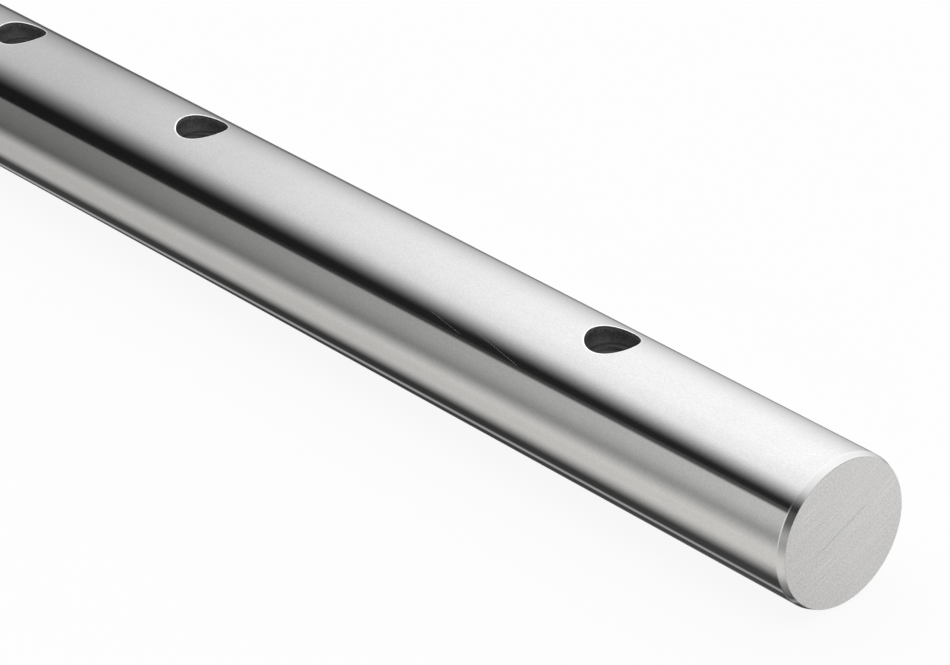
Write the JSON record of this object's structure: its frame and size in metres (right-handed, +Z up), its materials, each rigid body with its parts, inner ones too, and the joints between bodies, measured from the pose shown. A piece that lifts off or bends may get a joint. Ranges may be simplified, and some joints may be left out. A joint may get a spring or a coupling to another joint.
{
  "type": "linear shaft",
  "caption": "Solid round steel shaft, ground and polished, with lead-in chamfers at both ends and a row of blind tapped holes along one side, to guide linear bearings on a support rail.",
  "frame": {"origin": "on the shaft's axis, halfway along its length", "axes": "+X along the axis, towards the end nearest the camera in the picture; +Z up, out of the mouths of the tapped holes, as the shaft lies on a floor"},
  "size_m": [0.5, 0.025, 0.025],
  "materials": {
    "ground_steel": "ground and polished, with plain cut end faces"
  },
  "bodies": {
    "root": {"shaft": "ground_steel"}
  },
  "joints": []
}
